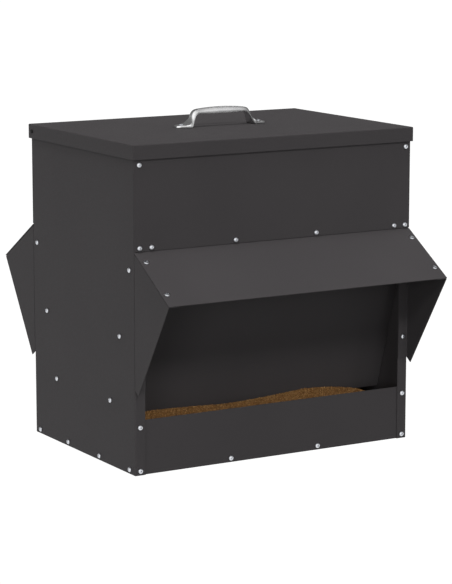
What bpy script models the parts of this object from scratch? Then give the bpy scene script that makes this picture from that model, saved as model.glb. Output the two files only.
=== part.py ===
"""A double-sided gravity feeder for game, folded from coated sheet steel and screwed together.

Units are metres and +Z is up. X runs along the width, the front faces -Y, and the origin is on the
ground under the middle of the feeder. Every piece is drawn on the right (+X) and at the rear (+Y),
and side and end, each -1 or +1, mirror it to the left or to the front.
"""

import math

import bmesh
import bpy
from mathutils import Matrix, Vector

# Overall size of the box and of its lid
BODY_WIDTH = 0.450
BODY_DEPTH = 0.312
LID_TOP = 0.457
LID_OVERHANG = 0.0033
LID_SKIRT = 0.0205

# Sheet steel: thickness, clearance between pieces that touch, inside radius of a fold
SHEET = 0.0010
GAP = 0.0003
FOLD_INSIDE = 0.0005
FOLD_STEPS = 3
RELIEF = 0.0030
FLANGE = 0.016
RIM_FLANGE = 0.012

# Upper half of the body, where the panels end in a rim just under the lid
HOOD_BEND = 0.3103
RIM_CORNER_DROP = 0.0027
RIM_CORNER = 0.020
REAR_RIM = 0.4510

# Rain hoods with their cheeks
HOOD_REACH = 0.0956
HOOD_EDGE = 0.2515
HOOD_FLANGE_TOP = 0.324
CHEEK_TIP_HEIGHT = 0.1144
CHEEK_TIP_REACH = 0.0087
CHEEK_FOOT = 0.1208

# Hopper and trough
TROUGH_LIP = 0.0773
CHUTE_LEAN = math.radians(17.07)
CHUTE_EDGE = 0.0646
CHUTE_EDGE_INSET = 0.0740
CHUTE_FLANGE = 0.015
PAN_HEIGHT = 0.013

# Lid hinge, measured from the rear face and the top of the lid
HINGE_INSET = 0.0077
HINGE_DROP = 0.0101

# Bow handle: under side and top side of the bar from the tip of a foot to the middle, and its width
HANDLE_SCREW_SPAN = 0.128
HANDLE_FOOT = 0.0034
HANDLE_STATIONS = (
    # under x, under z, top x, top z, width, with z counted from the lid
    (0.0732, 0.0000, 0.0732, 0.0026, 0.0080),
    (0.0700, 0.0000, 0.0700, 0.0033, 0.0135),
    (0.0640, 0.0000, 0.0640, HANDLE_FOOT, 0.0160),
    (0.0600, 0.0000, 0.0600, HANDLE_FOOT, 0.0180),
    (0.0565, 0.0000, 0.0570, 0.0045, 0.0200),
    (0.0520, 0.0000, 0.0536, 0.0061, 0.0220),
    (0.0496, 0.0042, 0.0510, 0.0092, 0.0195),
    (0.0466, 0.0102, 0.0490, 0.0132, 0.0160),
    (0.0436, 0.0151, 0.0478, 0.0180, 0.0130),
    (0.0406, 0.0178, 0.0452, 0.0223, 0.0115),
    (0.0374, 0.0187, 0.0405, 0.0247, 0.0110),
    (0.0300, 0.0188, 0.0310, 0.0259, 0.0105),
    (0.0150, 0.0189, 0.0150, 0.0269, 0.0105),
    (0.0000, 0.0189, 0.0000, 0.0272, 0.0105),
)
# Section of the bar: share of the half width, share of the way from the under side to the top
HANDLE_SECTION = (
    (1.0, 0.0),
    (0.95, 0.3),
    (0.78, 0.7),
    (0.5, 1.0),
    (-0.5, 1.0),
    (-0.78, 0.7),
    (-0.95, 0.3),
    (-1.0, 0.0),
)

# Fasteners
SHANK_RADIUS = 0.0019
HOLE_RADIUS = 0.0024
HEAD_RADIUS = 0.0036
HEAD_HEIGHT = 0.0024
HEAD_WALL = 0.0008
CROWN_RADIUS = 0.0025
CROWN_DROP = 0.0004
SCREW_LENGTH = 0.0070
HANDLE_SCREW_LENGTH = 0.0105
SCREW_SIDES = 8
HOLE_SIDES = 10
NUT_RADIUS = 0.0040
NUT_HOLE_RADIUS = 0.0026
NUT_HEIGHT = 0.0032
NUT_SIDES = 6
PIN_HEAD_RADIUS = 0.0029
PIN_HEAD_HEIGHT = 0.0010
PIN_HEAD_WALL = 0.0007
PIN_FACE_RADIUS = 0.0023
PIN_LENGTH = 0.0105
PIN_SIDES = 12
WASHER_RADIUS = 0.0050
SHARP_ANGLE = math.radians(40)
FACE_SCREW_INSET = 0.0080
CHUTE_SCREW_HEIGHTS = (0.2850, 0.1888, 0.0932)
HOOD_SCREW_REACHES = (0.0217, 0.0888)
CHEEK_SCREW_HEIGHT = 0.1520
TROUGH_SCREW_HEIGHT = 0.0675
TOP_SCREW_HEIGHT = 0.4292
SEAM_SCREW_HEIGHT = 0.3160
SEAM_SCREW_PLACES = (0.2170, 0.1985, 0.0660)
FOOT_SCREW_HEIGHT = 0.0063
FOOT_SCREW_PLACES = (0.2170, 0.0720)
PAN_SCREW_PLACES = (0.1390, 0.0484)

# Feed: its front surface from left to right, and the ridge that it leaves in the hopper
FEED_HALF_WIDTH = 0.2165
FEED_HALF_DEPTH = 0.1445
FEED_FLOOR = 0.0013
FEED_CLEARANCE = 0.0005
FEED_RIDGE = 0.100
FEED_RIDGE_DROP = 0.045
FEED_BANK = 0.070
FEED_BANK_FALL = 2.5
FEED_LIP_DIP = 0.003
FEED_LEVELS = (
    # x, height of the feed against the chute
    (-0.2165, 0.0695),
    (-0.1500, 0.0711),
    (-0.0900, 0.0692),
    (-0.0370, 0.0668),
    (0.0450, 0.0710),
    (0.0900, 0.0744),
    (0.1300, 0.0728),
    (0.1680, 0.0672),
    (0.1900, 0.0615),
    (0.2165, 0.0510),
)

# Sizes worked out from the ones above. FACES and WALLS are the outer sides of the layers of sheet
# that lie one behind the other at the front and rear, and at the left and right.
HALF_WIDTH = BODY_WIDTH / 2
HALF_DEPTH = BODY_DEPTH / 2
STACK = SHEET + GAP
FACES = [HALF_DEPTH - layer * STACK for layer in range(4)]
WALLS = [HALF_WIDTH - layer * STACK for layer in range(2)]
LID_UNDERSIDE = LID_TOP - SHEET
FRONT_RIM = LID_UNDERSIDE - GAP
HINGE_Y = HALF_DEPTH - HINGE_INSET
HINGE_Z = LID_TOP - HINGE_DROP
HOOD_FALL = HOOD_BEND - HOOD_EDGE
HOOD_SLOPE = math.hypot(HOOD_REACH, HOOD_FALL)
HOOD_DOWN = Vector((0, HOOD_REACH, -HOOD_FALL)) / HOOD_SLOPE
HOOD_OUT = Vector((0, HOOD_FALL, HOOD_REACH)) / HOOD_SLOPE
CHUTE_DOWN = Vector((0, -math.sin(CHUTE_LEAN), -math.cos(CHUTE_LEAN)))
CHUTE_INWARD = Vector((0, -math.cos(CHUTE_LEAN), math.sin(CHUTE_LEAN)))
WELD = 1e-6

SIDES = ((-1, "left"), (1, "right"))
ENDS = ((-1, "front"), (1, "rear"))


def clear_scene():
    for item in list(bpy.data.objects):
        bpy.data.objects.remove(item, do_unlink=True)


def finish(name, colour, roughness, metallic):
    """A Principled material in one linear colour."""
    material = bpy.data.materials.new(name)
    material.use_nodes = True
    shader = material.node_tree.nodes["Principled BSDF"]
    shader.inputs["Base Color"].default_value = (*colour, 1.0)
    shader.inputs["Roughness"].default_value = roughness
    shader.inputs["Metallic"].default_value = metallic
    return material


def finishes():
    """The five finishes of the feeder by name."""
    return {
        "powder_coat": finish("powder_coat", (0.042, 0.039, 0.041), 0.55, 0.0),
        "zinc": finish("zinc", (0.75, 0.76, 0.78), 0.30, 1.0),
        "chrome": finish("chrome", (0.80, 0.81, 0.83), 0.12, 1.0),
        "black_steel": finish("black_steel", (0.010, 0.010, 0.011), 0.45, 1.0),
        "grain": finish("grain", (0.250, 0.120, 0.035), 0.80, 0.0),
    }


def add_object(name, shape, material, place=(0, 0, 0), axis=(0, 0, 1)):
    """A new object of a bmesh, with its own +Z turned to axis and its origin at place."""
    mesh = bpy.data.meshes.new(name)
    shape.to_mesh(mesh)
    shape.free()
    if material:
        mesh.materials.append(material)
    piece = bpy.data.objects.new(name, mesh)
    bpy.context.scene.collection.objects.link(piece)
    turn = Vector((0, 0, 1)).rotation_difference(Vector(axis))
    piece.matrix_world = Matrix.Translation(place) @ turn.to_matrix().to_4x4()
    return piece


def mirrored(points, side, end):
    return [Vector((side * x, end * y, z)) for x, y, z in points]


def round_folds(shell):
    """Rounds the folds of an open sheet, tighter where its drawn side is the inside of the fold."""
    alike = {}
    for edge in shell.edges:
        if len(edge.link_faces) == 2:
            key = (round(edge.calc_face_angle(), 3), edge.is_convex)
            alike.setdefault(key, []).append(edge)
    for (turn, convex), edges in alike.items():
        radius = FOLD_INSIDE + SHEET if convex else FOLD_INSIDE
        setback = radius * math.tan(turn / 2)
        bmesh.ops.bevel(
            shell, geom=edges, offset=setback, segments=FOLD_STEPS, profile=0.5, affect="EDGES"
        )


def folded_sheet(name, panels, outward, material, side=1, end=1, cutter=None):
    """One piece of sheet from the flat panels of its outer side; the first looks along outward."""
    shell = bmesh.new()
    origin = mirrored([panels[0][0]], side, end)[0]
    corners = {}
    for panel in panels:
        points = mirrored(panel, side, end)
        for point in points:
            if tuple(point) not in corners:
                corners[tuple(point)] = shell.verts.new(point - origin)
        shell.faces.new([corners[tuple(point)] for point in points])
    shell.faces.ensure_lookup_table()
    bmesh.ops.recalc_face_normals(shell, faces=shell.faces)
    if shell.faces[0].normal.dot(mirrored([outward], side, end)[0]) < 0:
        bmesh.ops.reverse_faces(shell, faces=shell.faces)
    shell.normal_update()
    round_folds(shell)
    piece = add_object(name, shell, material, origin)
    thickness = piece.modifiers.new("sheet thickness", "SOLIDIFY")
    thickness.thickness = SHEET
    thickness.offset = -1
    thickness.use_even_offset = True
    if cutter:
        cut_holes(piece, cutter)
    return piece


def cut_holes(piece, cutter):
    holes = piece.modifiers.new("screw holes", "BOOLEAN")
    holes.operation = "DIFFERENCE"
    holes.object = cutter


def turned(profile, sides, ring=False):
    """A solid turned about Z from points (radius, height); a ring's profile closes on itself."""
    solid = bmesh.new()
    points = [solid.verts.new((radius, 0, height)) for radius, height in profile]
    pairs = list(zip(points, points[1:]))
    if ring:
        pairs.append((points[-1], points[0]))
    outline = points + [solid.edges.new(pair) for pair in pairs]
    turn = math.tau
    bmesh.ops.spin(solid, geom=outline, axis=(0, 0, 1), angle=turn, steps=sides, use_merge=True)
    bmesh.ops.remove_doubles(solid, verts=solid.verts, dist=WELD)
    bmesh.ops.recalc_face_normals(solid, faces=solid.faces)
    return solid


def lofted(sections):
    """A closed solid through sections, each of which is a list of the same number of points."""
    solid = bmesh.new()
    rings = [[solid.verts.new(point) for point in section] for section in sections]
    for one, other in zip(rings, rings[1:]):
        for index in range(len(one)):
            after = (index + 1) % len(one)
            solid.faces.new((one[index], one[after], other[after], other[index]))
    solid.faces.new(rings[0])
    solid.faces.new(rings[-1])
    bmesh.ops.recalc_face_normals(solid, faces=solid.faces)
    return solid


def shade_round(piece):
    piece.data.shade_smooth()
    piece.data.set_sharp_from_angle(angle=SHARP_ANGLE)


def chute_face_y(height):
    """Distance of the chute's trough side from the middle plane at a height."""
    return HALF_DEPTH - CHUTE_EDGE_INSET + (height - CHUTE_EDGE) * math.tan(CHUTE_LEAN)


def chute_screw_y(height):
    """The middle line of the chute's side flange at a height."""
    return chute_face_y(height) - CHUTE_FLANGE / 2 / math.cos(CHUTE_LEAN)


def hood_point(reach, depth=0.0):
    """A point in the hood's profile: reach down the slope from the bend, depth under its top."""
    return Vector((0, HALF_DEPTH, HOOD_BEND)) + HOOD_DOWN * reach - HOOD_OUT * depth


def screw_places():
    """Every screw that joins the sheets: its name, the point under its head, the way it faces."""
    places = {}
    for side, side_name in SIDES:
        for end, end_name in ENDS:
            corner = f"{end_name}_{side_name}"
            face_x = side * (HALF_WIDTH - FACE_SCREW_INSET)
            outward = Vector((0, end, 0))
            sideways = Vector((side, 0, 0))
            for number, height in enumerate(CHUTE_SCREW_HEIGHTS, 1):
                point = Vector((side * WALLS[0], end * chute_screw_y(height), height))
                places[f"chute_screw_{corner}_{number}"] = (point, sideways)
            for number, reach in enumerate(HOOD_SCREW_REACHES, 1):
                point = hood_point(reach) + Vector((HALF_WIDTH - FACE_SCREW_INSET, 0, 0))
                axis = mirrored([HOOD_OUT], side, end)[0]
                places[f"hood_screw_{corner}_{number}"] = (mirrored([point], side, end)[0], axis)
            for kind, face, height in (
                ("cheek", FACES[0], CHEEK_SCREW_HEIGHT),
                ("trough", FACES[1], TROUGH_SCREW_HEIGHT),
                ("top", FACES[0], TOP_SCREW_HEIGHT),
            ):
                places[f"{kind}_screw_{corner}"] = (Vector((face_x, end * face, height)), outward)
    return places


def seam_and_foot_places():
    """The holes for the screws along the hood's bend and along the bottom edge."""
    places = []
    for side, _ in SIDES:
        for end, _ in ENDS:
            outward = Vector((0, end, 0))
            for x in SEAM_SCREW_PLACES:
                places.append((Vector((side * x, end * FACES[0], SEAM_SCREW_HEIGHT)), outward))
            for x, face in zip(FOOT_SCREW_PLACES, FACES[1:3]):
                places.append((Vector((side * x, end * face, FOOT_SCREW_HEIGHT)), outward))
            for y in PAN_SCREW_PLACES:
                point = Vector((side * WALLS[0], end * y, FOOT_SCREW_HEIGHT))
                places.append((point, Vector((side, 0, 0))))
    return places


def hole_cutter(name, places):
    """One hidden cutter with a drill through the sheets at every place."""
    drills = bmesh.new()
    reach = SCREW_LENGTH / 2
    profile = ((0, -reach), (HOLE_RADIUS, -reach), (HOLE_RADIUS, reach), (0, reach))
    for place, axis in places:
        turn = Vector((0, 0, 1)).rotation_difference(axis)
        middle = place - axis * (reach - SHEET)
        drill = turned(profile, HOLE_SIDES)
        drill.transform(Matrix.Translation(middle) @ turn.to_matrix().to_4x4())
        copy = bpy.data.meshes.new("drill")
        drill.to_mesh(copy)
        drill.free()
        drills.from_mesh(copy)
        bpy.data.meshes.remove(copy)
    cutter = add_object(name, drills, None)
    cutter.hide_render = True
    cutter.display_type = "WIRE"
    return cutter


def side_panel(side, side_name, material, cutter):
    """Full-height side with folded edges at front, rear and top, cut back by the hinge."""
    x, y = WALLS[0], FACES[1]
    corner_z = FRONT_RIM - RIM_CORNER_DROP
    rear_z = REAR_RIM - 2 * STACK
    rim_front, rim_rear = -(y - RIM_FLANGE), HINGE_Y - RIM_FLANGE
    main = (
        (x, -y, 0),
        (x, y, 0),
        (x, y, rear_z),
        (x, HINGE_Y, corner_z),
        (x, rim_rear, corner_z),
        (x, rim_rear, FRONT_RIM),
        (x, rim_front, FRONT_RIM),
        (x, rim_front, corner_z),
        (x, -y, corner_z),
    )
    front = ((x, -y, 0), (x, -y, corner_z), (x - FLANGE, -y, corner_z), (x - FLANGE, -y, 0))
    rear = ((x, y, 0), (x, y, rear_z), (x - FLANGE, y, rear_z), (x - FLANGE, y, 0))
    rim = (
        (x, rim_rear, FRONT_RIM),
        (x, rim_front, FRONT_RIM),
        (x - RIM_FLANGE, rim_front, FRONT_RIM),
        (x - RIM_FLANGE, rim_rear, FRONT_RIM),
    )
    panels = (main, front, rear, rim)
    folded_sheet(f"side_panel_{side_name}", panels, (1, 0, 0), material, side, 1, cutter)


def upper_panel(end, end_name, material, cutter):
    """Upper half of the front or the rear, from the hood's bend to a rim folded inwards."""
    x, y = WALLS[0], FACES[0]
    foot = HOOD_BEND + SHEET
    rim_z = REAR_RIM if end > 0 else FRONT_RIM
    corner_z = rim_z - RIM_CORNER_DROP
    rim_x = x - RIM_CORNER
    main = (
        (-x, y, foot),
        (x, y, foot),
        (x, y, corner_z),
        (rim_x, y, corner_z),
        (rim_x, y, rim_z),
        (-rim_x, y, rim_z),
        (-rim_x, y, corner_z),
        (-x, y, corner_z),
    )
    rim_y = y - RIM_FLANGE
    rim = ((rim_x, y, rim_z), (-rim_x, y, rim_z), (-rim_x, rim_y, rim_z), (rim_x, rim_y, rim_z))
    folded_sheet(f"upper_panel_{end_name}", (main, rim), (0, 1, 0), material, 1, end, cutter)


def trough_panel(end, end_name, material, cutter):
    """Low upright sheet behind the side panels' folded edges: it holds the feed in the trough."""
    x, y = WALLS[1] - GAP, FACES[2]
    main = ((-x, y, GAP), (x, y, GAP), (x, y, TROUGH_LIP), (-x, y, TROUGH_LIP))
    folded_sheet(f"trough_panel_{end_name}", (main,), (0, 1, 0), material, 1, end, cutter)


def floor_pan(material, cutter):
    """Bottom tray with an upturned edge on all four sides and notched corners."""
    x, y = WALLS[1], FACES[3]
    inner_x, inner_y = x - RELIEF, y - RELIEF
    main = (
        (inner_x, y, 0),
        (inner_x, inner_y, 0),
        (x, inner_y, 0),
        (x, -inner_y, 0),
        (inner_x, -inner_y, 0),
        (inner_x, -y, 0),
        (-inner_x, -y, 0),
        (-inner_x, -inner_y, 0),
        (-x, -inner_y, 0),
        (-x, inner_y, 0),
        (-inner_x, inner_y, 0),
        (-inner_x, y, 0),
    )
    edges = []
    for sign in (-1, 1):
        edges.append(
            (
                (-inner_x, sign * y, 0),
                (inner_x, sign * y, 0),
                (inner_x, sign * y, PAN_HEIGHT),
                (-inner_x, sign * y, PAN_HEIGHT),
            )
        )
        edges.append(
            (
                (sign * x, -inner_y, 0),
                (sign * x, inner_y, 0),
                (sign * x, inner_y, PAN_HEIGHT),
                (sign * x, -inner_y, PAN_HEIGHT),
            )
        )
    folded_sheet("floor_pan", (main, *edges), (0, 0, -1), material, cutter=cutter)


def chute(end, end_name, material, cutter):
    """Sloping hopper sheet, screwed to the side panels through flanges on its hopper side."""
    x = WALLS[1]
    inner_x = x - RELIEF
    rise = (FACES[2] - chute_face_y(CHUTE_EDGE)) / math.tan(CHUTE_LEAN)
    bend = Vector((0, FACES[2], CHUTE_EDGE + rise))
    foot = Vector((0, chute_face_y(CHUTE_EDGE), CHUTE_EDGE))
    shoulder = bend + CHUTE_DOWN * RELIEF
    slope = (
        (-x, *foot.yz),
        (x, *foot.yz),
        (x, *shoulder.yz),
        (inner_x, *shoulder.yz),
        (inner_x, *bend.yz),
        (-inner_x, *bend.yz),
        (-inner_x, *shoulder.yz),
        (-x, *shoulder.yz),
    )
    back_foot = foot + CHUTE_INWARD * CHUTE_FLANGE
    back_shoulder = shoulder + CHUTE_INWARD * CHUTE_FLANGE
    flanges = [
        (
            (sign * x, *foot.yz),
            (sign * x, *shoulder.yz),
            (sign * x, *back_shoulder.yz),
            (sign * x, *back_foot.yz),
        )
        for sign in (-1, 1)
    ]
    head = (
        (-inner_x, *bend.yz),
        (inner_x, *bend.yz),
        (inner_x, FACES[2], HOOD_FLANGE_TOP),
        (-inner_x, FACES[2], HOOD_FLANGE_TOP),
    )
    outward = -CHUTE_INWARD
    folded_sheet(f"chute_{end_name}", (slope, *flanges, head), outward, material, 1, end, cutter)


def hood(end, end_name, material, cutter):
    """Rain hood: a sloping sheet with a flange tucked up between the side panels' folded edges."""
    x = WALLS[0]
    inner_x = x - FLANGE - 2 * GAP
    reach_at_flange = (FACES[1] - HALF_DEPTH) / HOOD_DOWN.y
    bend = hood_point(reach_at_flange)
    shoulder = bend + HOOD_DOWN * (SHEET + GAP)
    edge = hood_point(HOOD_SLOPE)
    slope = (
        (-x, *edge.yz),
        (x, *edge.yz),
        (x, *shoulder.yz),
        (inner_x, *shoulder.yz),
        (inner_x, *bend.yz),
        (-inner_x, *bend.yz),
        (-inner_x, *shoulder.yz),
        (-x, *shoulder.yz),
    )
    flange = (
        (-inner_x, *bend.yz),
        (inner_x, *bend.yz),
        (inner_x, FACES[1], HOOD_FLANGE_TOP),
        (-inner_x, FACES[1], HOOD_FLANGE_TOP),
    )
    folded_sheet(f"hood_{end_name}", (slope, flange), HOOD_OUT, material, 1, end, cutter)


def hood_cheek(side, side_name, end, end_name, material, cutter):
    """Side plate of a hood, with one flange against the body and one under the sloping sheet."""
    x = WALLS[0]
    wall_y = HALF_DEPTH - SHEET
    apex = hood_point((wall_y - HALF_DEPTH + HOOD_OUT.y * STACK) / HOOD_DOWN.y, STACK)
    outer = hood_point(HOOD_SLOPE, STACK)
    tip = Vector((0, HALF_DEPTH + CHEEK_TIP_REACH, CHEEK_TIP_HEIGHT))
    foot = Vector((0, wall_y, CHEEK_FOOT))
    wall_top = apex - Vector((0, 0, RELIEF))
    slope_top = apex + HOOD_DOWN * RELIEF
    half_corner = math.acos(-HOOD_DOWN.z) / 2
    notch_depth = RELIEF * math.tan(half_corner)
    notch = wall_top + Vector((0, notch_depth, 0))
    plate = [(x, *point.yz) for point in (foot, tip, outer, slope_top, notch, wall_top)]
    wall_flange = (
        (x, *foot.yz),
        (x, *wall_top.yz),
        (x - FLANGE, *wall_top.yz),
        (x - FLANGE, *foot.yz),
    )
    slope_flange = (
        (x, *slope_top.yz),
        (x, *outer.yz),
        (x - FLANGE, *outer.yz),
        (x - FLANGE, *slope_top.yz),
    )
    name = f"hood_cheek_{end_name}_{side_name}"
    folded_sheet(name, (plate, wall_flange, slope_flange), (1, 0, 0), material, side, end, cutter)


def lid(material, cutter):
    """Folded cover: skirts at the front and the sides, open at the rear so that it can turn."""
    x, y = HALF_WIDTH + LID_OVERHANG, HALF_DEPTH + LID_OVERHANG
    top, low = LID_TOP, LID_TOP - LID_SKIRT
    plate = ((-x, -y, top), (x, -y, top), (x, y, top), (-x, y, top))
    front = ((-x, -y, top), (x, -y, top), (x, -y, low), (-x, -y, low))
    skirts = [
        ((sign * x, -y, top), (sign * x, y, top), (sign * x, y, low), (sign * x, -y, low))
        for sign in (-1, 1)
    ]
    return folded_sheet("lid", (plate, front, *skirts), (0, 0, 1), material, cutter=cutter)


def handle(material, cutter):
    """Bow handle: one bar lofted through its stations from the tip of one foot to the other."""
    right = [
        (Vector((under_x, 0, under_z)), Vector((top_x, 0, top_z)), width)
        for under_x, under_z, top_x, top_z, width in HANDLE_STATIONS
    ]
    left = [(*mirrored((under, top), -1, 1), width) for under, top, width in right[:-1]]
    sections = [
        [
            under.lerp(top, up) + Vector((0, across * width / 2, 0))
            for across, up in HANDLE_SECTION
        ]
        for under, top, width in left + right[::-1]
    ]
    piece = add_object("handle", lofted(sections), material, (0, 0, LID_TOP + GAP))
    shade_round(piece)
    cut_holes(piece, cutter)
    return piece


def screw(name, place, axis, material, length=SCREW_LENGTH):
    """Pan-head screw with the underside of its head just off the sheet at place."""
    crown = GAP + HEAD_HEIGHT
    profile = (
        (0, -length),
        (SHANK_RADIUS, -length),
        (SHANK_RADIUS, GAP),
        (HEAD_RADIUS, GAP),
        (HEAD_RADIUS, GAP + HEAD_WALL),
        (CROWN_RADIUS, crown - CROWN_DROP),
        (0, crown),
    )
    piece = add_object(name, turned(profile, SCREW_SIDES), material, place, axis)
    shade_round(piece)
    return piece


def ring_profile(inner, outer, height):
    return ((inner, 0), (outer, 0), (outer, height), (inner, height))


def nut(name, place, axis, material):
    """Hexagon nut that starts at place and grows along axis."""
    profile = ring_profile(NUT_HOLE_RADIUS, NUT_RADIUS, NUT_HEIGHT)
    return add_object(name, turned(profile, NUT_SIDES, ring=True), material, place, axis)


def handle_places():
    foot_z = LID_TOP + GAP + HANDLE_FOOT
    return [Vector((side * HANDLE_SCREW_SPAN / 2, 0, foot_z)) for side, _ in SIDES]


def handle_hardware(material):
    """The two screws that hold the handle and their nuts under the lid."""
    pieces = []
    for place, (_, side_name) in zip(handle_places(), SIDES):
        name = f"handle_screw_{side_name}"
        pieces.append(screw(name, place, (0, 0, 1), material, HANDLE_SCREW_LENGTH))
        under_lid = Vector((place.x, 0, LID_UNDERSIDE - GAP))
        pieces.append(nut(f"handle_nut_{side_name}", under_lid, (0, 0, -1), material))
    return pieces


def hinge_places():
    return [Vector((side * (HALF_WIDTH + LID_OVERHANG), HINGE_Y, HINGE_Z)) for side, _ in SIDES]


def hinge_hardware(side, side_name, skirt_place, coats):
    """Pin from outside through skirt and side panel, a spacer between them and a nut inside."""
    outward = Vector((side, 0, 0))
    black = coats["black_steel"]
    profile = (
        (0, -PIN_LENGTH),
        (SHANK_RADIUS, -PIN_LENGTH),
        (SHANK_RADIUS, GAP),
        (PIN_HEAD_RADIUS, GAP),
        (PIN_HEAD_RADIUS, GAP + PIN_HEAD_WALL),
        (PIN_FACE_RADIUS, GAP + PIN_HEAD_HEIGHT),
        (0, GAP + PIN_HEAD_HEIGHT),
    )
    pin = turned(profile, PIN_SIDES)
    shade_round(add_object(f"hinge_pin_{side_name}", pin, black, skirt_place, outward))
    spacer = ring_profile(HOLE_RADIUS, WASHER_RADIUS, LID_OVERHANG - SHEET - 2 * GAP)
    washer = turned(spacer, PIN_SIDES, ring=True)
    at_panel = Vector((side * (WALLS[0] + GAP), HINGE_Y, HINGE_Z))
    add_object(f"hinge_washer_{side_name}", washer, black, at_panel, outward)
    inside = Vector((side * (WALLS[0] - SHEET - GAP), HINGE_Y, HINGE_Z))
    nut(f"hinge_nut_{side_name}", inside, -outward, coats["zinc"])


def feed_half(level):
    """Half a cross-section of the feed, from the floor by the trough panel to the hopper side."""
    bank = min(FEED_BANK, CHUTE_EDGE + FEED_BANK_FALL * (level - CHUTE_EDGE))
    edge_y = chute_face_y(CHUTE_EDGE)
    under_edge = CHUTE_EDGE - FEED_CLEARANCE
    back_y = chute_face_y(bank) - SHEET / math.cos(CHUTE_LEAN) - FEED_CLEARANCE
    return (
        (FEED_HALF_DEPTH, FEED_FLOOR),
        (FEED_HALF_DEPTH, level - FEED_LIP_DIP),
        (chute_face_y(max(level, CHUTE_EDGE)) + FEED_CLEARANCE, level),
        (edge_y + FEED_CLEARANCE, min(under_edge, level - FEED_CLEARANCE)),
        (edge_y - SHEET - 2 * FEED_CLEARANCE, min(under_edge, level - FEED_CLEARANCE)),
        (min(back_y, edge_y - SHEET - 3 * FEED_CLEARANCE), bank),
    )


def feed(material):
    """The heap of feed on the floor, higher in the hopper, with a slot for each chute's edge."""
    rear_levels = [level for _, level in FEED_LEVELS[::-1]]
    sections = []
    for (x, front_level), rear_level in zip(FEED_LEVELS, rear_levels):
        ridge = FEED_RIDGE - FEED_RIDGE_DROP * (x / FEED_HALF_WIDTH) ** 2
        front = feed_half(front_level)
        rear = feed_half(rear_level)
        outline = [(-y, z) for y, z in front] + [(0, ridge)] + [(y, z) for y, z in rear[::-1]]
        sections.append([(x, y, z) for y, z in outline])
    heap = lofted(sections)
    bmesh.ops.triangulate(heap, faces=heap.faces)
    add_object("feed", heap, material)


def hang_lid(pieces):
    """Parents the lid and what it carries to an empty on the hinge axis."""
    axis = bpy.data.objects.new("lid_hinge", None)
    bpy.context.scene.collection.objects.link(axis)
    axis.location = (0, HINGE_Y, HINGE_Z)
    for piece in pieces:
        piece.parent = axis
        piece.matrix_parent_inverse = Matrix.Translation(axis.location).inverted()


def main():
    clear_scene()
    coats = finishes()
    coat, zinc = coats["powder_coat"], coats["zinc"]
    places = screw_places()
    hinge_drills = [(place, Vector((place.x, 0, 0)).normalized()) for place in hinge_places()]
    body_drills = [*places.values(), *seam_and_foot_places(), *hinge_drills]
    body_holes = hole_cutter("body_holes", body_drills)
    handle_drills = [(place, Vector((0, 0, 1))) for place in handle_places()]
    lid_holes = hole_cutter("lid_holes", hinge_drills + handle_drills)
    for end, end_name in ENDS:
        upper_panel(end, end_name, coat, body_holes)
        trough_panel(end, end_name, coat, body_holes)
        chute(end, end_name, coat, body_holes)
        hood(end, end_name, coat, body_holes)
        for side, side_name in SIDES:
            hood_cheek(side, side_name, end, end_name, coat, body_holes)
    for (side, side_name), place in zip(SIDES, hinge_places()):
        side_panel(side, side_name, coat, body_holes)
        hinge_hardware(side, side_name, place, coats)
    floor_pan(coat, body_holes)
    feed(coats["grain"])
    for name, (place, axis) in places.items():
        screw(name, place, axis, zinc)
    hang_lid([lid(coat, lid_holes), handle(coats["chrome"], lid_holes), *handle_hardware(zinc)])


main()
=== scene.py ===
"""The looks of the game feeder: surfaces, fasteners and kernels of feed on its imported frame."""

import math
import random
from functools import partial

import bmesh
import bpy
from mathutils import Euler, Matrix, Vector, noise


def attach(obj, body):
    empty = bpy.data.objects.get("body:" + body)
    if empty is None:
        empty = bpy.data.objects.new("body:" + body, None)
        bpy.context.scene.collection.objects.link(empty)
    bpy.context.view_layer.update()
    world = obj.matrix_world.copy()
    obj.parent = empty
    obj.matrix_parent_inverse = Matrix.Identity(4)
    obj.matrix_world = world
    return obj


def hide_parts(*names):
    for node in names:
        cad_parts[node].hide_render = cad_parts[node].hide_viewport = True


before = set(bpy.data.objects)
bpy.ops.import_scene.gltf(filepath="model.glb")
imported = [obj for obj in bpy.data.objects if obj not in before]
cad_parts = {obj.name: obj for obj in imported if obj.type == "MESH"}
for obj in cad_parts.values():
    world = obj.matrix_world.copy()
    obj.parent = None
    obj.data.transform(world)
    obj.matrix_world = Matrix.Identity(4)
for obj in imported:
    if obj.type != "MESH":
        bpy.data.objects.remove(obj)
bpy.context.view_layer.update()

# Camera: where it stands, which way it looks, and its lens on a 36 mm sensor
CAMERA_PLACE = (-1.7097, -2.9213, 0.8143)
CAMERA_HEADING = math.radians(30.488)
CAMERA_DIP = math.radians(10.075)
CAMERA_LENS = 145.21

# Studio: sun lamps by name, with the direction that each shines from, its strength and its spread
LAMPS = {
    "key": ((-0.27, -1.00, 0.81), 1.68, 9),
    "key_right": ((0.40, -1.00, 0.81), 0.50, 9),
    "side": ((-0.80, -0.20, 0.57), 1.24, 25),
    "top": ((-0.10, -0.05, 1.00), 2.56, 15),
    "low_front": ((0.00, -1.00, 0.12), 0.42, 20),
    "low_left": ((-0.70, -0.70, 0.12), 1.06, 20),
    "rear": ((0.15, 1.00, 0.12), 2.20, 12),
    "right": ((1.00, 0.30, 0.10), 2.00, 12),
}
# Narrow cards that only glossy surfaces mirror
CARDS = {
    "edge_card": ((0.50, -0.86, 0.05), 0.07, 14),
    "top_card": ((0.50, 0.22, 0.84), 0.14, 24),
}
# World: its even light, and the gradient that glossy surfaces mirror, from dim to bright
SKY_GLOW = 0.190
SHEEN_FACES = (-0.55, -0.68, -0.48)
SHEEN_DIM = 0.15
SHEEN_BRIGHT = 1.70
SHEEN_SPAN = (-0.5, 0.9)
FLOOR_HALF = 40.0
FLOOR_TONES = (0.96, 0.99)
FLOOR_GLOW = 1.08
CLIP_END = 200.0

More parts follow.
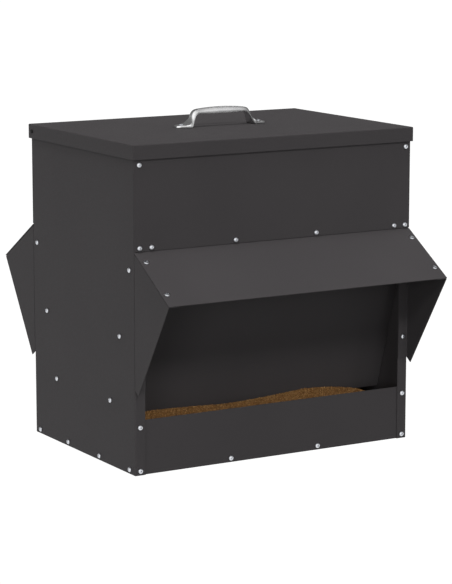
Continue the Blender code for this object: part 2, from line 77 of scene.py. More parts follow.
# The frame's sizes that the fasteners and the feed are placed by
SHEET_PARTS = ("side", "upper", "trough", "floor", "chute", "hood", "lid")
SIDES = ((-1, "left"), (1, "right"))
ENDS = ((-1, "front"), (1, "rear"))
GAP = 0.0003
SHEET = 0.0010
HALF_WIDTH = 0.225
HALF_DEPTH = 0.156
FACES = (0.1560, 0.1547, 0.1534)
LID_TOP = 0.457
LID_OVERHANG = 0.0033
HINGE = (0.1483, 0.4469)
HOOD_BEND = 0.3103
HOOD_REACH = 0.0956
HOOD_FALL = 0.0588
CHUTE_LEAN = math.radians(17.07)
CHUTE_EDGE = 0.0646
CHUTE_EDGE_Y = 0.0820
CHUTE_FLANGE = 0.015
TWO_SHEETS = 0.0026
THREE_SHEETS = 0.0039

# Where the screws sit: heights, places along a face, and reaches down the hood's slope
SCREW_INSET = 0.0080
CHUTE_SCREW_HEIGHTS = (0.2850, 0.1888, 0.0932)
HOOD_SCREW_REACHES = (0.0217, 0.0888)
FACE_SCREWS = (("cheek", 0, 0.1520), ("trough", 1, 0.0675), ("top", 0, 0.4292))
SEAM_SCREW_HEIGHT = 0.3160
SEAM_SCREW_PLACES = (0.2170, 0.1985, 0.0660)
FOOT_SCREW_HEIGHT = 0.0063
FOOT_SCREW_MIDDLE = 0.0720
PAN_SCREW_PLACES = (0.1390, 0.0484)

# Pan-head screws and nuts
HEAD_RADIUS = 0.0036
HEAD_HEIGHT = 0.0024
HEAD_WALL = 0.0008
HEAD_EDGE = 0.0002
HEAD_SEAT = 0.00005
CROWN_STEPS = 7
CROWN_POWER = 0.8
SHANK_RADIUS = 0.0019
THREAD_DEPTH = 0.0003
THREAD_PITCH = 0.0007
THREAD_START = 0.0003
THREAD_FREE = 0.0012
THREAD_END = 0.0006
SCREW_LENGTH = 0.0070
HANDLE_SCREW_LENGTH = 0.0105
HANDLE_HEAD_HEIGHT = 0.0017
HANDLE_SCREW_X = 0.064
HANDLE_FOOT = 0.0034
RECESS_SECTIONS = ((0.0007, 0.0008, 0.00022), (0.0032, 0.0022, 0.00050))
NUT_RADIUS = 0.0040
NUT_HEIGHT = 0.0032
NUT_BORE = 0.0020
NUT_SIDES = 6
NUT_CHAMFER = 0.13
NUT_FACE = 0.86
ROUND = 32

# Hinge pin: radius and height of its outline, from the inner end to the dished head
PIN_OUTLINE = (
    (0, -0.0105),
    (0.0017, -0.0105),
    (0.0019, -0.0102),
    (0.0019, 0.0001),
    (0.0027, 0.0001),
    (0.0029, 0.0003),
    (0.0029, 0.0009),
    (0.0027, 0.0012),
    (0.0020, 0.0013),
    (0.0017, 0.0009),
    (0, 0.0009),
)

# Angles, in degrees, above which an edge is shaded sharp
SHARP_PIN = 30
SHARP_FASTENER = 35
SHARP_HANDLE = 50
SHARP_FEED = 60

# Bow handle: x and height of its under side and of its top side, and its width, from tip to middle
HANDLE_STATIONS = (
    (0.0732, 0.0000, 0.0732, 0.0026, 0.0080),
    (0.0700, 0.0000, 0.0700, 0.0033, 0.0135),
    (0.0640, 0.0000, 0.0640, 0.0034, 0.0160),
    (0.0600, 0.0000, 0.0600, 0.0034, 0.0180),
    (0.0565, 0.0000, 0.0570, 0.0045, 0.0200),
    (0.0520, 0.0000, 0.0536, 0.0061, 0.0220),
    (0.0496, 0.0042, 0.0510, 0.0092, 0.0195),
    (0.0466, 0.0102, 0.0490, 0.0132, 0.0160),
    (0.0436, 0.0151, 0.0478, 0.0180, 0.0130),
    (0.0406, 0.0178, 0.0452, 0.0223, 0.0115),
    (0.0374, 0.0187, 0.0405, 0.0247, 0.0110),
    (0.0300, 0.0188, 0.0310, 0.0259, 0.0105),
    (0.0150, 0.0189, 0.0150, 0.0269, 0.0105),
    (0.0000, 0.0189, 0.0000, 0.0272, 0.0105),
)
# Its outline, as shares of half the width and of the height: a D for the bar, a plate for the feet
HANDLE_SECTION = (
    (1.0, 0.0),
    (0.95, 0.3),
    (0.78, 0.7),
    (0.5, 1.0),
    (-0.5, 1.0),
    (-0.78, 0.7),
    (-0.95, 0.3),
    (-1.0, 0.0),
)
FOOT_SECTION = (
    (1.0, 0.0),
    (1.0, 0.6),
    (0.96, 0.88),
    (0.86, 1.0),
    (-0.86, 1.0),
    (-0.96, 0.88),
    (-1.0, 0.6),
    (-1.0, 0.0),
)
FOOT_BLEND = (0.0036, 0.0120)
HANDLE_STEPS = 4
OUTLINE_STEPS = 3

# Feed: its level along the chute from left to right, its heap in the hopper, and its kernels
FEED_HALF_WIDTH = 0.2222
FEED_PAN_HALF = 0.2165
FEED_SHELF = 0.0160
FEED_FOOT = ((0.1445, 0.0013), (0.1445, FEED_SHELF), (0.1515, 0.0200))
FEED_STEPS = 24
FEED_SLICES = 150
FEED_SHORE = 0.0002
FEED_UNDER = 0.0005
CHUTE_EDGE_SIDES = (0.0004, -0.0015)
HOPPER_SHORE = 0.0014
HOPPER_EDGE = 0.0016
FEED_RIDGE = 0.100
FEED_RIDGE_DROP = 0.045
FEED_BANK = 0.070
FEED_BANK_FALL = 2.5
FEED_LIP_DIP = 0.003
FEED_LEVELS = (
    (-0.2165, 0.0683),
    (-0.1930, 0.0702),
    (-0.1500, 0.0711),
    (-0.0900, 0.0692),
    (-0.0370, 0.0668),
    (0.0450, 0.0710),
    (0.0900, 0.0744),
    (0.1300, 0.0728),
    (0.1680, 0.0674),
    (0.1900, 0.0625),
    (0.2165, 0.0510),
)
TROUGH_ROUGH = (0.0005, 60)
HOPPER_ROUGH = (0.0008, 45)
TROUGH_INSIDE = 0.1520
KERNELS = 3400
KERNEL_SIZE = (0.00105, 0.00066, 0.00055)
KERNEL_SCALE = (0.75, 1.25)
KERNEL_TILT = 0.35
KERNEL_REACH = 0.0006
KERNEL_CORNERS = 6
KERNEL_CAP = 0.5
KERNEL_GIRTH = 0.86
SEED = 7


# ---------------------------------------------------------------- node helpers


def node_material(name):
    """A new node material: the material, its node tree and its Principled shader."""
    material = bpy.data.materials.new(name)
    material.use_nodes = True
    tree = material.node_tree
    return material, tree, tree.nodes["Principled BSDF"]


def add_node(tree, kind, inputs=None, **settings):
    """A new node with its settings, and its inputs linked or set."""
    node = tree.nodes.new(kind)
    for key, value in settings.items():
        setattr(node, key, value)
    for key, value in (inputs or {}).items():
        if isinstance(value, bpy.types.NodeSocket):
            tree.links.new(value, node.inputs[key])
        else:
            node.inputs[key].default_value = value
    return node


def object_coordinates(tree):
    return add_node(tree, "ShaderNodeTexCoord").outputs["Object"]


def noise_node(tree, where, scale, detail=2.0, roughness=0.5):
    """The value of a noise pattern."""
    inputs = {"Vector": where, "Scale": scale, "Detail": detail, "Roughness": roughness}
    return add_node(tree, "ShaderNodeTexNoise", inputs).outputs["Fac"]


def ranged(tree, value, low, high, from_low=0.3, from_high=0.7):
    """Spreads a pattern's values between two numbers."""
    inputs = {
        "Value": value,
        "From Min": from_low,
        "From Max": from_high,
        "To Min": low,
        "To Max": high,
    }
    return add_node(tree, "ShaderNodeMapRange", inputs).outputs["Result"]


def tinted(tree, factor, stops):
    """A colour ramp of (place, linear colour) stops."""
    ramp = add_node(tree, "ShaderNodeValToRGB", {"Fac": factor})
    elements = ramp.color_ramp.elements
    while len(elements) < len(stops):
        elements.new(0.5)
    for element, (place, colour) in zip(elements, stops):
        element.position = place
        element.color = (*colour, 1.0)
    return ramp.outputs["Color"]


def bumped(tree, height, distance, strength=1.0, under=None):
    """A normal that follows a height pattern, on top of another normal."""
    inputs = {"Height": height, "Distance": distance, "Strength": strength}
    if under is not None:
        inputs["Normal"] = under
    return add_node(tree, "ShaderNodeBump", inputs).outputs["Normal"]


def fill(tree, shader, **sockets):
    """Links or sets the shader's inputs by name, with _ for a blank."""
    for key, value in sockets.items():
        socket = shader.inputs[key.replace("_", " ")]
        if isinstance(value, bpy.types.NodeSocket):
            tree.links.new(value, socket)
        else:
            socket.default_value = value


# ---------------------------------------------------------------- materials


def powder_coat():
    """Satin anthracite powder coat: orange peel, a fine grain and a hint of cloudiness."""
    material, tree, shader = node_material("powder_coat_detail")
    where = object_coordinates(tree)
    cloud = noise_node(tree, where, 9.0, 3.0)
    peel = noise_node(tree, where, 620.0, 2.0)
    grain = noise_node(tree, where, 2600.0, 1.0)
    tones = ((0.3, (0.0318, 0.0296, 0.0308)), (0.7, (0.0342, 0.0318, 0.0330)))
    fine = bumped(tree, grain, 0.00001, 0.5)
    fill(
        tree,
        shader,
        Base_Color=tinted(tree, cloud, tones),
        Roughness=ranged(tree, peel, 0.52, 0.62),
        Normal=bumped(tree, peel, 0.00003, 0.5, fine),
    )
    shader.inputs["Specular IOR Level"].default_value = 0.10
    return material


def zinc():
    """Bright zinc plating: cool white metal with cloudy passivation and fine turning marks."""
    material, tree, shader = node_material("zinc_detail")
    where = object_coordinates(tree)
    cloud = noise_node(tree, where, 420.0, 2.0)
    tones = ((0.3, (0.58, 0.60, 0.635)), (0.7, (0.68, 0.69, 0.72)))
    rings = add_node(
        tree,
        "ShaderNodeTexWave",
        {"Vector": where, "Scale": 1100.0, "Distortion": 1.0},
        wave_type="RINGS",
        rings_direction="Z",
    ).outputs["Fac"]
    fill(
        tree,
        shader,
        Base_Color=tinted(tree, cloud, tones),
        Metallic=1.0,
        Roughness=ranged(tree, cloud, 0.24, 0.38),
        Normal=bumped(tree, rings, 0.000008, 0.4),
    )
    return material


def chrome():
    """Polished chrome plating with faint waves and hazy finger marks."""
    material, tree, shader = node_material("chrome_detail")
    where = object_coordinates(tree)
    haze = noise_node(tree, where, 60.0, 3.0)
    ripple = noise_node(tree, where, 240.0, 1.0)
    tones = ((0.3, (0.80, 0.80, 0.81)), (0.7, (0.86, 0.86, 0.86)))
    fill(
        tree,
        shader,
        Base_Color=tinted(tree, haze, tones),
        Metallic=1.0,
        Roughness=ranged(tree, haze, 0.26, 0.34),
        Normal=bumped(tree, ripple, 0.00002, 0.3),
    )
    return material


def black_steel():
    """Matt black oxide on the hinge pins and washers, with a slightly worn grain."""
    material, tree, shader = node_material("black_steel_detail")
    where = object_coordinates(tree)
    wear = noise_node(tree, where, 900.0, 3.0)
    tones = ((0.35, (0.002, 0.002, 0.002)), (0.75, (0.006, 0.006, 0.006)))
    fill(
        tree,
        shader,
        Base_Color=tinted(tree, wear, tones),
        Roughness=ranged(tree, wear, 0.50, 0.65),
        Normal=bumped(tree, wear, 0.00002, 0.4),
    )
    shader.inputs["Specular IOR Level"].default_value = 0.15
    return material


GRAIN_TONES = (
    (0.05, (0.093, 0.042, 0.0135)),
    (0.35, (0.147, 0.070, 0.0225)),
    (0.70, (0.186, 0.094, 0.0315)),
    (0.95, (0.284, 0.170, 0.072)),
)


def feed_bed_material():
    """Packed kernels: a domed cell for each, in its own shade of brown."""
    material, tree, shader = node_material("feed_bed_detail")
    where = object_coordinates(tree)
    cells = add_node(tree, "ShaderNodeTexVoronoi", {"Vector": where, "Scale": 620.0})
    split = add_node(tree, "ShaderNodeSeparateColor", {"Color": cells.outputs["Color"]})
    shade = split.outputs["Red"]
    dome = ranged(tree, cells.outputs["Distance"], 1.0, 0.0, 0.0, 0.8)
    fill(
        tree,
        shader,
        Base_Color=tinted(tree, shade, GRAIN_TONES),
        Roughness=0.85,
        Normal=bumped(tree, dome, 0.0006, 0.9),
    )
    shader.inputs["Specular IOR Level"].default_value = 0.2
    return material


def kernel_material():
    """Loose kernels, each a little lighter or darker than the next, with a dry mottled skin."""
    material, tree, shader = node_material("kernel_detail")
    where = object_coordinates(tree)
    island = add_node(tree, "ShaderNodeNewGeometry").outputs["Random Per Island"]
    skin = noise_node(tree, where, 2400.0, 2.0)
    mottle = ranged(tree, skin, -0.12, 0.12)
    mixed = add_node(tree, "ShaderNodeMath", {0: island, 1: mottle}, operation="ADD")
    fill(
        tree,
        shader,
        Base_Color=tinted(tree, mixed.outputs[0], GRAIN_TONES),
        Roughness=ranged(tree, skin, 0.55, 0.80),
        Normal=bumped(tree, skin, 0.0001, 0.4),
    )
    shader.inputs["Specular IOR Level"].default_value = 0.3
    return material


# ---------------------------------------------------------------- mesh helpers


def add_piece(name, shape, material, place=(0, 0, 0), axis=(0, 0, 1), smooth=None):
    """A new object of a bmesh or mesh, with its own +Z turned to axis and its origin at place."""
    mesh = shape
    if isinstance(shape, bmesh.types.BMesh):
        mesh = bpy.data.meshes.new(name)
        shape.to_mesh(mesh)
        shape.free()
    if material:
        mesh.materials.clear()
        mesh.materials.append(material)
    if smooth is not None:
        mesh.shade_smooth()
        mesh.set_sharp_from_angle(angle=math.radians(smooth))
    piece = bpy.data.objects.new(name, mesh)
    bpy.context.scene.collection.objects.link(piece)
    turn = Vector((0, 0, 1)).rotation_difference(Vector(axis))
    piece.matrix_world = Matrix.Translation(place) @ turn.to_matrix().to_4x4()
    return piece


def turned(profile, sides, ring=False):
    """A solid turned about Z from points (radius, height); a ring's profile closes on itself."""
    solid = bmesh.new()
    points = [solid.verts.new((radius, 0, height)) for radius, height in profile]
    pairs = list(zip(points, points[1:]))
    if ring:
        pairs.append((points[-1], points[0]))
    edges = [solid.edges.new(pair) for pair in pairs]
    bmesh.ops.spin(
        solid,
        geom=points + edges,
        axis=(0, 0, 1),
        angle=math.tau,
        steps=sides,
        use_merge=True,
    )
    bmesh.ops.remove_doubles(solid, verts=solid.verts, dist=1e-6)
    bmesh.ops.recalc_face_normals(solid, faces=solid.faces)
    return solid


def loft(sections):
    """A closed solid through sections of equally many points."""
    solid = bmesh.new()
    rings = [[solid.verts.new(point) for point in section] for section in sections]
    for one, other in zip(rings, rings[1:]):
        for index in range(len(one)):
            after = (index + 1) % len(one)
            solid.faces.new((one[index], one[after], other[after], other[index]))
    solid.faces.new(rings[0])
    solid.faces.new(rings[-1])
    bmesh.ops.recalc_face_normals(solid, faces=solid.faces)
    return solid


def between(a, b, c, d, t):
    """Catmull-Rom value at a share t of the way from b to c."""
    linear = (c - a) * t
    square = (2 * a - 5 * b + 4 * c - d) * t**2
    cube = (3 * b - a - 3 * c + d) * t**3
    return 0.5 * (2 * b + linear + square + cube)


def curved(rows, steps, closed=False):
    """Rows of numbers with smooth Catmull-Rom steps between them."""
    count = len(rows)
    spans = count if closed else count - 1
    result = []
    for index in range(spans):
        picks = [index - 1, index, index + 1, index + 2]
        if closed:
            nearby = [rows[pick % count] for pick in picks]
        else:
            nearby = [rows[min(max(pick, 0), count - 1)] for pick in picks]
        for step in range(steps):
            result.append([between(*values, step / steps) for values in zip(*nearby)])
    if not closed:
        result.append(list(rows[-1]))
    return result


def evaluated(piece):
    """The mesh of a piece with its modifiers applied; the piece itself is removed."""
    bpy.context.view_layer.update()
    graph = bpy.context.evaluated_depsgraph_get()
    mesh = bpy.data.meshes.new_from_object(piece.evaluated_get(graph))
    bpy.data.objects.remove(piece)
    return mesh


def carve(piece, cutter):
    """The mesh of piece with cutter taken out of it; both are removed."""
    cut = piece.modifiers.new("cut", "BOOLEAN")
    cut.operation = "DIFFERENCE"
    cut.object = cutter
    mesh = evaluated(piece)
    bpy.data.objects.remove(cutter)
    return mesh


# ---------------------------------------------------------------- fasteners


def cross_recess():
    """The tool for a cross recess: a plus that tapers towards the bottom of the head."""
    sections = []
    for height, reach, half in RECESS_SECTIONS:
        quarter = [(reach, -half), (reach, half), (half, half)]
        outline = []
        for turn in range(4):
            spin = Matrix.Rotation(turn * math.pi / 2, 3, "Z")
            outline += [spin @ Vector((x, y, height)) for x, y in quarter]
        sections.append(outline)
    return loft(sections)


def screw_mesh(length, head_height):
    """Pan-head screw with a domed head, a cross recess and a thread of ridges, seated at z = 0."""
    core = SHANK_RADIUS - THREAD_DEPTH
    profile = [(0, -length), (core, -length)]
    for ridge in range(int((length - THREAD_FREE) / THREAD_PITCH)):
        low = -length + THREAD_START + ridge * THREAD_PITCH
        profile += [(core, low), (SHANK_RADIUS, low + THREAD_PITCH / 2)]
    profile += [(core, -THREAD_END), (SHANK_RADIUS, HEAD_SEAT)]
    profile += [(HEAD_RADIUS - HEAD_EDGE, HEAD_SEAT), (HEAD_RADIUS, HEAD_SEAT + HEAD_EDGE)]
    profile.append((HEAD_RADIUS, HEAD_WALL))
    for step in range(1, CROWN_STEPS):
        angle = math.pi / 2 * step / CROWN_STEPS
        radius = HEAD_RADIUS * math.cos(angle) ** CROWN_POWER
        profile.append((radius, HEAD_WALL + (head_height - HEAD_WALL) * math.sin(angle)))
    profile.append((0, head_height))
    blank = add_piece("blank", turned(profile, ROUND), None)
    return carve(blank, add_piece("recess", cross_recess(), None))


def nut_shape(top):
    """Hexagon nut with chamfered corners, hanging down from z = -top."""
    profile = (
        (NUT_BORE, -top),
        (NUT_RADIUS * NUT_FACE, -top),
        (NUT_RADIUS, -top - NUT_HEIGHT * NUT_CHAMFER),
        (NUT_RADIUS, -top - NUT_HEIGHT * (1 - NUT_CHAMFER)),
        (NUT_RADIUS * NUT_FACE, -top - NUT_HEIGHT),
        (NUT_BORE, -top - NUT_HEIGHT),
    )
    return turned(profile, NUT_SIDES, ring=True)


def fastener_mesh(name, length, stack, material, head_height=HEAD_HEIGHT):
    """Screw and nut in one mesh, with the nut behind a stack of sheets."""
    both = bmesh.new()
    both.from_mesh(screw_mesh(length, head_height))
    nut = bpy.data.meshes.new("nut")
    shape = nut_shape(stack)
    shape.to_mesh(nut)
    shape.free()
    both.from_mesh(nut)
    mesh = bpy.data.meshes.new(name)
    both.to_mesh(mesh)
    both.free()
    mesh.materials.append(material)
    mesh.shade_smooth()
    mesh.set_sharp_from_angle(angle=math.radians(SHARP_FASTENER))
    return mesh


def chute_y(height):
    """Distance of the chute's outer face from the middle at a height."""
    return CHUTE_EDGE_Y + (height - CHUTE_EDGE) * math.tan(CHUTE_LEAN)


def chute_screw_y(height):
    """The middle of the chute's side flange at a height."""
    return chute_y(height) - CHUTE_FLANGE / 2 / math.cos(CHUTE_LEAN)


def hood_screw(reach, side, end):
    """Point and axis of a screw at a reach down the hood's slope."""
    slope = math.hypot(HOOD_REACH, HOOD_FALL)
    down = Vector((0, end * HOOD_REACH, -HOOD_FALL)) / slope
    out = Vector((0, end * HOOD_FALL, HOOD_REACH)) / slope
    point = Vector((side * (HALF_WIDTH - SCREW_INSET), end * HALF_DEPTH, HOOD_BEND)) + down * reach
    return point, out


def screws_with_nodes(side, end, corner):
    """The screws of one corner that are nodes of the frame: name, point, axis and stack."""
    rows = []
    x = side * (HALF_WIDTH - SCREW_INSET)
    out, sideways = Vector((0, end, 0)), Vector((side, 0, 0))
    for number, height in enumerate(CHUTE_SCREW_HEIGHTS, 1):
        point = Vector((side * HALF_WIDTH, end * chute_screw_y(height), height))
        rows.append((f"chute_screw_{corner}_{number}", point, sideways, TWO_SHEETS))
    for number, reach in enumerate(HOOD_SCREW_REACHES, 1):
        point, axis = hood_screw(reach, side, end)
        rows.append((f"hood_screw_{corner}_{number}", point, axis, TWO_SHEETS))
    for kind, face, height in FACE_SCREWS:
        point = Vector((x, end * FACES[face], height))
        rows.append((f"{kind}_screw_{corner}", point, out, TWO_SHEETS))
    return rows


def screws_without_nodes(side, end, corner):
    """The screws of one corner that the frame only has holes for."""
    rows = []
    x = side * (HALF_WIDTH - SCREW_INSET)
    out, sideways = Vector((0, end, 0)), Vector((side, 0, 0))
    for number, along in enumerate(SEAM_SCREW_PLACES, 1):
        point = Vector((side * along, end * FACES[0], SEAM_SCREW_HEIGHT))
        rows.append((f"seam_screw_{corner}_{number}", point, out, THREE_SHEETS))
    foot = Vector((x, end * FACES[1], FOOT_SCREW_HEIGHT))
    rows.append((f"foot_screw_{corner}_1", foot, out, THREE_SHEETS))
    foot = Vector((side * FOOT_SCREW_MIDDLE, end * FACES[2], FOOT_SCREW_HEIGHT))
    rows.append((f"foot_screw_{corner}_2", foot, out, TWO_SHEETS))
    for number, y in enumerate(PAN_SCREW_PLACES, 1):
        point = Vector((side * HALF_WIDTH, end * y, FOOT_SCREW_HEIGHT))
        rows.append((f"pan_screw_{corner}_{number}", point, sideways, TWO_SHEETS))
    return rows


def fastener_places():
    """Every sheet-metal screw: name, point, axis, stack and whether the frame has its node."""
    rows = []
    for side, side_name in SIDES:
        for end, end_name in ENDS:
            corner = f"{end_name}_{side_name}"
            rows += [(*row, True) for row in screws_with_nodes(side, end, corner)]
            rows += [(*row, False) for row in screws_without_nodes(side, end, corner)]
    return rows


def build_fasteners(material):
    """The screws and nuts of the sheets, each turned at random about its axis."""
    longer = SCREW_LENGTH + SHEET
    meshes = {
        TWO_SHEETS: fastener_mesh("screw_two_sheets", SCREW_LENGTH, TWO_SHEETS, material),
        THREE_SHEETS: fastener_mesh("screw_three_sheets", longer, THREE_SHEETS, material),
    }
    turns = random.Random(SEED)
    for name, point, axis, stack, has_node in fastener_places():
        piece = add_piece(f"{name}_detail", meshes[stack], None, point, axis)
        turn = Matrix.Rotation(turns.uniform(0, math.tau), 4, "Z")
        piece.matrix_world = piece.matrix_world @ turn
        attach(piece, "housing")
        if has_node:
            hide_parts(name)


def build_handle_screws(material):
    """The two screws through the handle's feet and the lid, with their nuts."""
    stack = HANDLE_FOOT + 2 * GAP + SHEET
    mesh = fastener_mesh("screw_handle", HANDLE_SCREW_LENGTH, stack, material, HANDLE_HEAD_HEIGHT)
    for side, side_name in SIDES:
        place = (side * HANDLE_SCREW_X, 0, LID_TOP + GAP + HANDLE_FOOT)
        piece = add_piece(f"handle_screw_{side_name}_detail", mesh, None, place)
        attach(piece, "lid")
        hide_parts(f"handle_screw_{side_name}", f"handle_nut_{side_name}")


def build_hinges(black, bright):
    """Dark pins through the lid's skirt and the side panel, with a bright nut inside."""
    pin = turned(PIN_OUTLINE, ROUND)
    mesh = bpy.data.meshes.new("hinge_pin")
    pin.to_mesh(mesh)
    pin.free()
    mesh.materials.append(black)
    mesh.shade_smooth()
    mesh.set_sharp_from_angle(angle=math.radians(SHARP_PIN))
    for side, side_name in SIDES:
        outward = Vector((side, 0, 0))
        place = (side * (HALF_WIDTH + LID_OVERHANG), *HINGE)
        piece = add_piece(f"hinge_pin_{side_name}_detail", mesh, None, place, outward)
        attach(piece, "housing")
        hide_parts(f"hinge_pin_{side_name}")
        inside = (side * (HALF_WIDTH - SHEET - GAP), *HINGE)
        name = f"hinge_nut_{side_name}_detail"
        nut = add_piece(name, nut_shape(0), bright, inside, outward, SHARP_FASTENER)
        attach(nut, "housing")
        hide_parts(f"hinge_nut_{side_name}")


# ---------------------------------------------------------------- handle


def handle_outline(top):
    """Outline of the bar where its top is at that height: a plate at the foot, a D above it."""
    low, high = FOOT_BLEND
    share = min(max((top - low) / (high - low), 0.0), 1.0)
    rows = [
        (foot[0] + (bar[0] - foot[0]) * share, foot[1] + (bar[1] - foot[1]) * share)
        for foot, bar in zip(FOOT_SECTION, HANDLE_SECTION)
    ]
    return curved(rows, OUTLINE_STEPS, closed=True)


def build_handle(material):
    """Bow handle: one smooth bar from the tip of one foot to the other."""
    half = curved(HANDLE_STATIONS, HANDLE_STEPS)
    stations = [(-a, b, -c, d, width) for a, b, c, d, width in half[:-1]] + half[::-1]
    sections = []
    for under_x, under_z, top_x, top_z, width in stations:
        under = Vector((under_x, 0, max(under_z, 0)))
        top = Vector((top_x, 0, top_z))
        outline = handle_outline(top_z)
        section = []
        for across, up in outline:
            up = min(max(up, 0.0), 1.0)
            section.append(under.lerp(top, up) + Vector((0, across * width / 2, 0)))
        sections.append(section)
    place = (0, 0, LID_TOP + GAP)
    piece = add_piece("handle_detail", loft(sections), material, place, smooth=SHARP_HANDLE)
    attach(piece, "lid")
    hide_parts("handle")


# ---------------------------------------------------------------- feed


def smooth_level(x):
    """Height of the feed against the chute, smooth between its listed levels."""
    rows = FEED_LEVELS
    if x <= rows[0][0]:
        return rows[0][1]
    if x >= rows[-1][0]:
        return rows[-1][1]
    for index in range(len(rows) - 1):
        (x0, z0), (x1, z1) = rows[index], rows[index + 1]
        if x0 <= x <= x1:
            before = rows[max(index - 1, 0)]
            after = rows[min(index + 2, len(rows) - 1)]
            slope0 = (z1 - before[1]) / (x1 - before[0])
            slope1 = (after[1] - z0) / (after[0] - x0)
            span = x1 - x0
            t = (x - x0) / span
            return (
                z0 * (1 + 2 * t) * (1 - t) ** 2
                + slope0 * span * t * (1 - t) ** 2
                + z1 * t * t * (3 - 2 * t)
                + slope1 * span * t * t * (t - 1)
            )


def trough_point(x, share, end):
    """A point of the trough's feed surface, share of the way from the lip to the chute."""
    level = smooth_level(-end * x)
    lip = level - FEED_LIP_DIP
    z = lip + (level - lip) * math.sin(share * math.pi / 2)
    shore = chute_y(max(level, CHUTE_EDGE)) + FEED_SHORE
    y = TROUGH_INSIDE + (shore - TROUGH_INSIDE) * share
    height, scale = TROUGH_ROUGH
    z += height * noise.noise(Vector((x * scale, y * scale, end * 3.0)))
    return Vector((x, end * y, z))


def hopper_point(x, share, end):
    """A point of the hopper's feed surface, share of the way from the chute to the ridge."""
    level = smooth_level(-end * x)
    bank = min(FEED_BANK, CHUTE_EDGE + FEED_BANK_FALL * (level - CHUTE_EDGE))
    ridge = FEED_RIDGE - FEED_RIDGE_DROP * (x / FEED_HALF_WIDTH) ** 2
    back = min(chute_y(bank) - HOPPER_SHORE, CHUTE_EDGE_Y - HOPPER_EDGE)
    z = bank + (ridge - bank) * math.sin(share * math.pi / 2)
    height, scale = HOPPER_ROUGH
    z += height * noise.noise(Vector((x * scale, share * 4, end * 5.0)))
    return Vector((x, end * back * (1 - share), z))


def feed_section(x):
    """A closed outline of the feed across the feeder at x."""
    outline = []
    for end in (-1, 1):
        level = smooth_level(-end * x)
        under = min(CHUTE_EDGE, level) - FEED_UNDER
        half = [Vector((x, end * y, z)) for y, z in FEED_FOOT]
        half += [trough_point(x, step / FEED_STEPS, end) for step in range(FEED_STEPS + 1)]
        half += [Vector((x, end * (CHUTE_EDGE_Y + past), under)) for past in CHUTE_EDGE_SIDES]
        ridge_steps = FEED_STEPS + 1 if end < 0 else FEED_STEPS
        half += [hopper_point(x, step / FEED_STEPS, end) for step in range(ridge_steps)]
        outline += half if end < 0 else half[::-1]
    return outline


def build_feed_bed(material):
    """The heap as one solid, raised at its two ends to clear the pan's edges and their nuts."""
    sections = []
    for step in range(FEED_SLICES + 1):
        x = -FEED_HALF_WIDTH + 2 * FEED_HALF_WIDTH * step / FEED_SLICES
        section = feed_section(x)
        if abs(x) > FEED_PAN_HALF:
            for point in section:
                point.z = max(point.z, FEED_SHELF)
        sections.append(section)
    piece = add_piece("feed_bed", loft(sections), material, smooth=SHARP_FEED)
    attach(piece, "housing")
    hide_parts("feed")


def kernel_points():
    """One kernel of unit size: two pointed caps and two rings of corners."""
    count = KERNEL_CORNERS
    points = [Vector((1, 0, 0))]
    for along, twist in ((KERNEL_CAP, 0.0), (-KERNEL_CAP, 0.5)):
        for corner in range(count):
            angle = math.tau * (corner + twist) / count
            across = Vector((0, math.cos(angle), math.sin(angle))) * KERNEL_GIRTH
            points.append(across + Vector((along, 0, 0)))
    points.append(Vector((-1, 0, 0)))
    one, other, tip = 1, 1 + count, 1 + 2 * count
    faces = [(0, one + c, one + (c + 1) % count) for c in range(count)]
    for c in range(count):
        after = (c + 1) % count
        faces.append((one + c, other + c, one + after))
        faces.append((one + after, other + c, other + after))
        faces.append((tip, other + after, other + c))
    return points, faces


def scatter(name, surface, count, material, seed):
    """Kernels strewn over a surface(x, share), in one mesh."""
    draw = random.Random(seed)
    corner_points, corner_faces = kernel_points()
    points, faces = [], []
    reach = FEED_HALF_WIDTH + KERNEL_REACH
    for _ in range(count):
        x = draw.uniform(-reach, reach)
        place = surface(x, draw.uniform(0.0, 1.0))
        size = Vector(KERNEL_SIZE) * draw.uniform(*KERNEL_SCALE)
        roll, tilt = draw.uniform(0, math.tau), draw.gauss(0, KERNEL_TILT)
        turn = Euler((roll, tilt, draw.uniform(0, math.tau)))
        place.z += size.z * draw.uniform(0.0, 0.9)
        base = len(points)
        for corner in corner_points:
            spot = Vector((corner.x * size.x, corner.y * size.y, corner.z * size.z))
            spot.rotate(turn)
            points.append(place + spot)
        faces += [tuple(base + index for index in face) for face in corner_faces]
    mesh = bpy.data.meshes.new(name)
    mesh.from_pydata(points, [], faces)
    mesh.validate()
    mesh.shade_smooth()
    piece = add_piece(name, mesh, material)
    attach(piece, "housing")


def build_feed():
    """The heap and the loose kernels on it, in the troughs and in the hopper."""
    build_feed_bed(feed_bed_material())
    kernels = kernel_material()
    for end, end_name in ENDS:
        for place, surface, seed in (
            ("", trough_point, SEED + end),
            ("hopper_", hopper_point, SEED + 2 * end),
        ):
            name = f"kernels_{place}{end_name}"
            scatter(name, partial(surface, end=end), KERNELS, kernels, seed)


# ---------------------------------------------------------------- studio


def build_camera():
    """The camera, level from side to side and dipped a little."""
    camera = bpy.data.objects.new("camera", bpy.data.cameras.new("camera"))
    bpy.context.scene.collection.objects.link(camera)
    camera.location = CAMERA_PLACE
    camera.rotation_euler = (math.pi / 2 - CAMERA_DIP, 0, -CAMERA_HEADING)
    camera.data.lens = CAMERA_LENS
    camera.data.clip_end = CLIP_END
    bpy.context.scene.camera = camera


def build_lamps():
    """The lamps light surfaces and aren't mirrored; the cards are mirrored and light nothing."""
    for name, (source, strength, spread) in {**LAMPS, **CARDS}.items():
        lamp = bpy.data.lights.new(name, "SUN")
        lamp.energy = strength
        lamp.angle = math.radians(spread)
        holder = bpy.data.objects.new(name, lamp)
        bpy.context.scene.collection.objects.link(holder)
        holder.rotation_euler = Vector(source).to_track_quat("Z", "Y").to_euler()
        holder.visible_glossy = name in CARDS
        holder.visible_diffuse = name in LAMPS


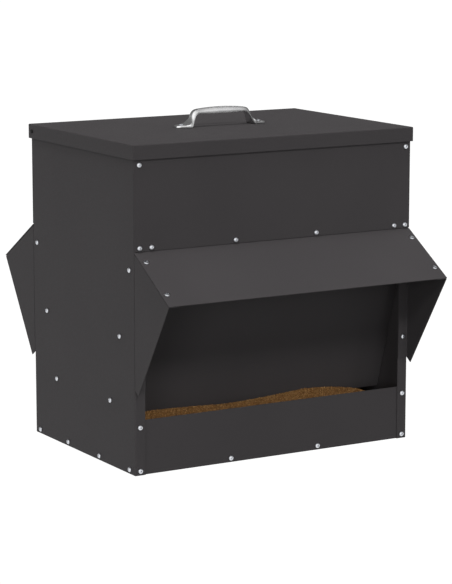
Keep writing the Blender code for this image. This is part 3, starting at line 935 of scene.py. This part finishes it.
def build_sky():
    """White behind everything, dimmer as a light, and a soft gradient for what is mirrored."""
    world = bpy.data.worlds.new("studio")
    world.use_nodes = True
    tree = world.node_tree
    plain = tree.nodes["Background"]
    plain.inputs["Color"].default_value = (1, 1, 1, 1)
    way = add_node(tree, "ShaderNodeTexCoord").outputs["Generated"]
    facing = Vector(SHEEN_FACES).normalized()
    toward = add_node(tree, "ShaderNodeVectorMath", {0: way, 1: facing}, operation="DOT_PRODUCT")
    sheen = ranged(tree, toward.outputs["Value"], SHEEN_DIM, SHEEN_BRIGHT, *SHEEN_SPAN)
    sheen.node.interpolation_type = "SMOOTHSTEP"
    path = add_node(tree, "ShaderNodeLightPath")
    glossy = path.outputs["Is Glossy Ray"]
    strength = add_node(tree, "ShaderNodeMix", {0: glossy, 2: SKY_GLOW, 3: sheen}).outputs[0]
    inputs = {"Color": (1, 1, 1, 1), "Strength": strength}
    light = add_node(tree, "ShaderNodeBackground", inputs)
    seen = path.outputs["Is Camera Ray"]
    parts = {0: seen, 1: light.outputs[0], 2: plain.outputs[0]}
    both = add_node(tree, "ShaderNodeMixShader", parts)
    tree.links.new(both.outputs[0], tree.nodes["World Output"].inputs["Surface"])
    bpy.context.scene.world = world
    bpy.context.scene.view_settings.view_transform = "Standard"


def build_floor():
    """A plain white floor that glows, so that it takes no shadow, and throws no light upwards."""
    shape = bmesh.new()
    bmesh.ops.create_grid(shape, x_segments=1, y_segments=1, size=FLOOR_HALF)
    material, tree, shader = node_material("floor_white")
    tone = noise_node(tree, object_coordinates(tree), 3.0)
    low, high = FLOOR_TONES
    shades = tinted(tree, tone, ((0.3, (low, low, low)), (0.7, (high, high, high))))
    bounced = add_node(tree, "ShaderNodeLightPath").outputs["Is Diffuse Ray"]
    glow = ranged(tree, bounced, FLOOR_GLOW, 0.0)
    fill(tree, shader, Base_Color=(0, 0, 0, 1), Emission_Color=shades, Emission_Strength=glow)
    shader.inputs["Specular IOR Level"].default_value = 0.0
    add_piece("floor", shape, material, (0, 0, -GAP))


def dress(material, names):
    """Gives CAD nodes a material of their own."""
    for name in names:
        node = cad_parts[name]
        node.data.materials.clear()
        node.data.materials.append(material)


build_camera()
build_lamps()
build_sky()
build_floor()

zinc_plate = zinc()
black = black_steel()
sheets = [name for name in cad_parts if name.split("_")[0] in SHEET_PARTS]
dress(powder_coat(), [name for name in sheets if "screw" not in name])
dress(black, ["hinge_washer_left", "hinge_washer_right"])
build_fasteners(zinc_plate)
build_handle_screws(zinc_plate)
build_hinges(black, zinc_plate)
build_handle(chrome())
build_feed()
